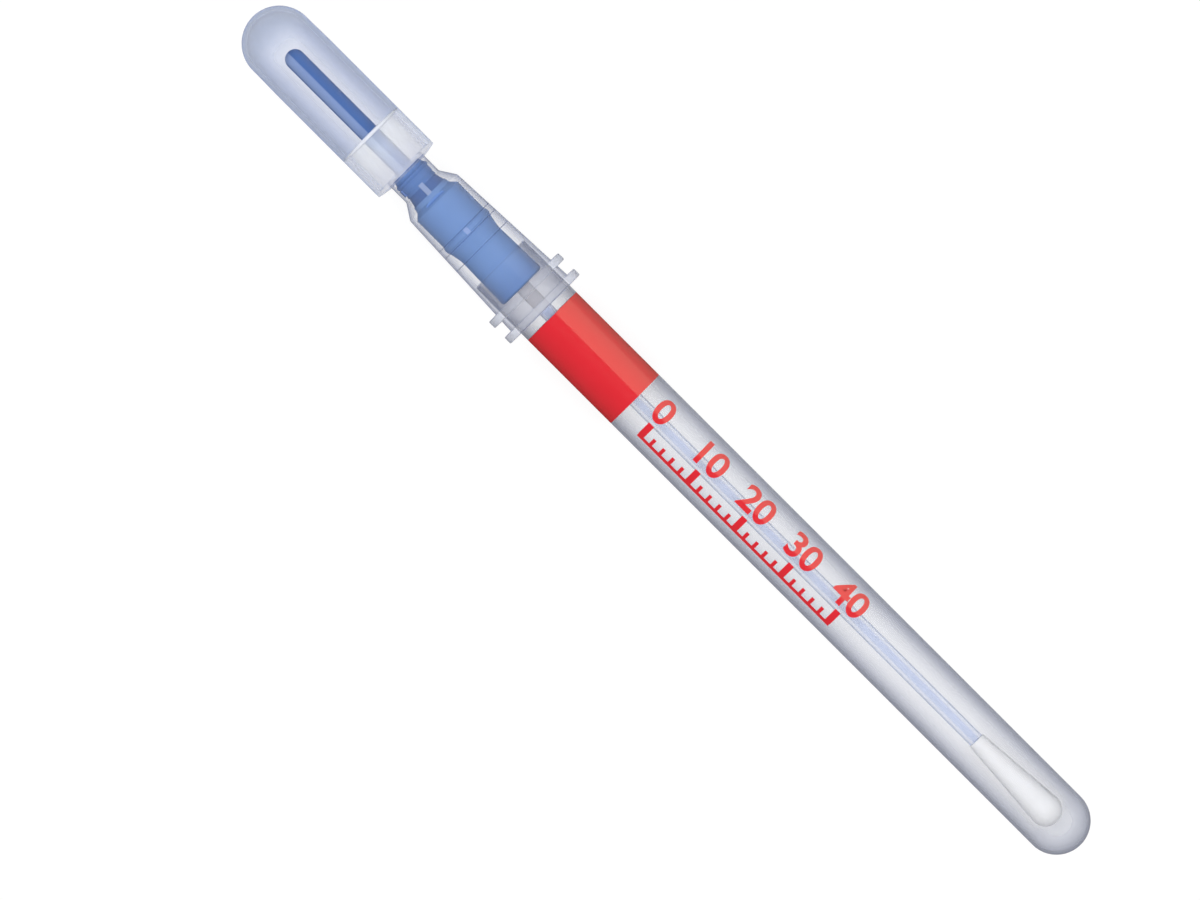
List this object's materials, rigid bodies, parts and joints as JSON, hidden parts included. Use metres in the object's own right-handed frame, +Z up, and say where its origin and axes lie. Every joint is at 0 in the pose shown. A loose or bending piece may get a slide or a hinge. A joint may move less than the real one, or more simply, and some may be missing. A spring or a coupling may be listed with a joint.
{
  "type": "specimen swab tube",
  "caption": "Clear round-ended specimen tube closed by a swab with a finger-flanged head, a snap valve and a squeeze bulb of reagent; the swab pulls straight out.",
  "frame": {"origin": "on the surface that the tube lies on, under the middle of its bounding box", "axes": "+X from the bulb towards the tube's round end, +Z up; lying on a flange's rim and on its round end, the tube's own axis dips 1.17 degrees towards +X"},
  "size_m": [0.178, 0.0148, 0.015],
  "materials": {
    "clear_tube": "clear, glossy moulded plastic",
    "red_film": "glossy printed film",
    "clear_housing": "clear, glossy moulded plastic",
    "blue_valve": "satin moulded plastic",
    "bulb_plastic": "soft translucent plastic",
    "stopper_plastic": "whitish translucent plastic",
    "reagent_liquid": "clear liquid",
    "shaft_plastic": "pale blue extruded plastic",
    "bud_fibre": "wound white fibre"
  },
  "bodies": {
    "tube": {"tube": "clear_tube", "label_band": "red_film"},
    "swab": {"valve_housing": "clear_housing", "snap_valve": "blue_valve", "bulb": "bulb_plastic", "bulb_stopper": "stopper_plastic", "reagent": "reagent_liquid", "swab_shaft": "shaft_plastic", "swab_bud": "bud_fibre"}
  },
  "joints": [
    {"name": "swab_pull", "type": "slide", "parent": "tube", "child": "swab", "axis": [-0.9998, 0, 0.0204], "range_m": [0, 0.125]}
  ]
}
